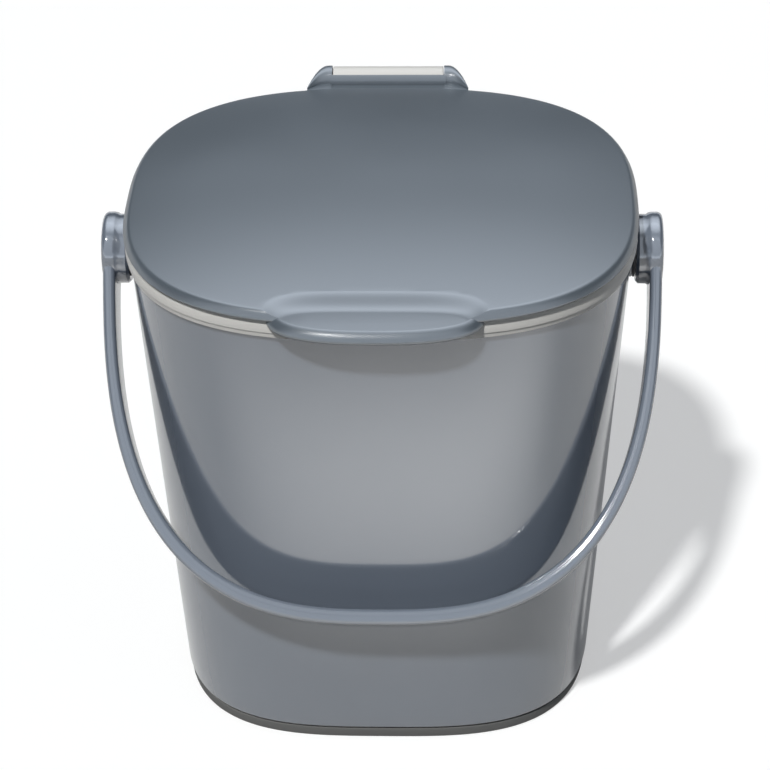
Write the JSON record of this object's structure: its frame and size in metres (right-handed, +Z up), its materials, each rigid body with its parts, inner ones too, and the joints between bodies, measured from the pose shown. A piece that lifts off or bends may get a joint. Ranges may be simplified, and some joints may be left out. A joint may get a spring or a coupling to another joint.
{
  "type": "kitchen compost bin",
  "caption": "Tapering countertop bin with a domed lid hinged at the back, a front thumb tab, a light rim ring and a hoop handle that swings from front to back.",
  "frame": {"origin": "on the worktop, in the middle of the bin's overall width and depth, handle lowered in front", "axes": "+Z up, the front with the thumb tab faces -Y, +X is the right side seen from the front"},
  "size_m": [0.1992, 0.1906, 0.1893],
  "materials": {
    "gloss_charcoal": "glossy injection-moulded blue-grey charcoal",
    "satin_charcoal": "satin injection-moulded blue-grey charcoal",
    "light_plastic": "smooth light warm grey",
    "foot_rubber": "matt dark grey",
    "seal_silicone": "soft matt grey",
    "pin_steel": "drawn rod",
    "bush_nylon": "black nylon"
  },
  "bodies": {
    "bin": {"bucket": "gloss_charcoal", "base_plate": "satin_charcoal", "foot_ring": "foot_rubber", "rim_ring": "light_plastic", "pivot_bush_left": "bush_nylon", "pivot_bush_right": "bush_nylon"},
    "lid": {"lid_shell": "satin_charcoal", "lid_liner": "light_plastic", "lid_seal": "seal_silicone", "hinge_pin": "pin_steel", "hinge_plug_left": "satin_charcoal", "hinge_plug_right": "satin_charcoal"},
    "handle": {"handle": "gloss_charcoal", "pivot_pin_left": "pin_steel", "pivot_pin_right": "pin_steel"}
  },
  "joints": [
    {"name": "lid_hinge", "type": "hinge", "parent": "bin", "child": "lid", "pos_m": [0, 0.09054, 0.1834], "axis": [-1, 0, 0], "range_deg": [0, 110]},
    {"name": "handle_pivot", "type": "hinge", "parent": "bin", "child": "handle", "pos_m": [0, -0.00047, 0.1616], "axis": [-1, 0, 0], "range_deg": [0, 277]}
  ]
}
